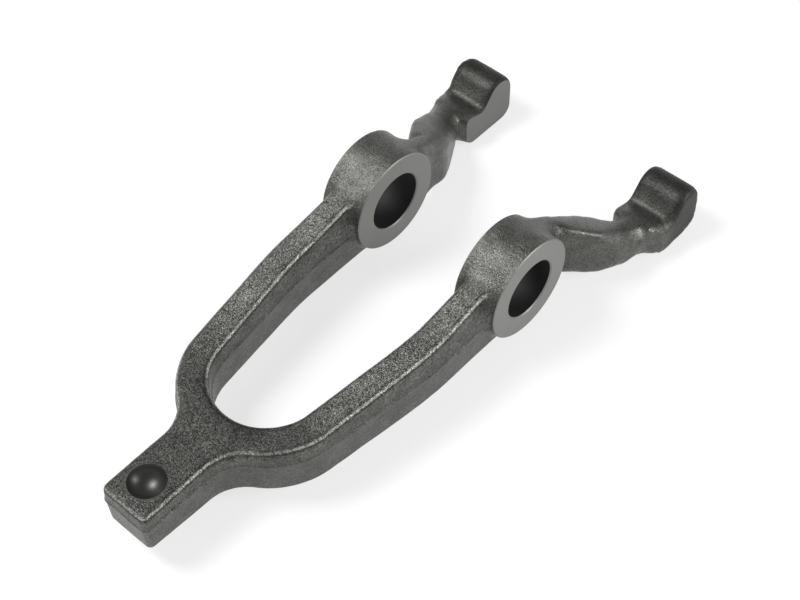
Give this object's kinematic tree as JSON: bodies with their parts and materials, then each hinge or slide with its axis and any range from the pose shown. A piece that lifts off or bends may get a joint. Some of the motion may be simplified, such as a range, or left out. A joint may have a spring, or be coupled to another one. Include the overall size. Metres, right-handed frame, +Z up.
{
  "type": "clutch fork",
  "caption": "Forged clutch release fork: a U yoke with two pivot bosses, a tang with a push-rod ball cup, and hooked fingers that press the release sleeve.",
  "frame": {"origin": "middle of the pivot axis, half-way between the two bosses", "axes": "+X from the push-rod tang towards the finger tips, +Y along the pivot axis, +Z up, the side the ball cup opens to"},
  "size_m": [0.2563, 0.1186, 0.0485],
  "materials": {
    "forged_steel": "dark forging skin, satin, with machined bores and boss faces"
  },
  "bodies": {
    "root": {"clutch_fork": "forged_steel"}
  },
  "joints": []
}
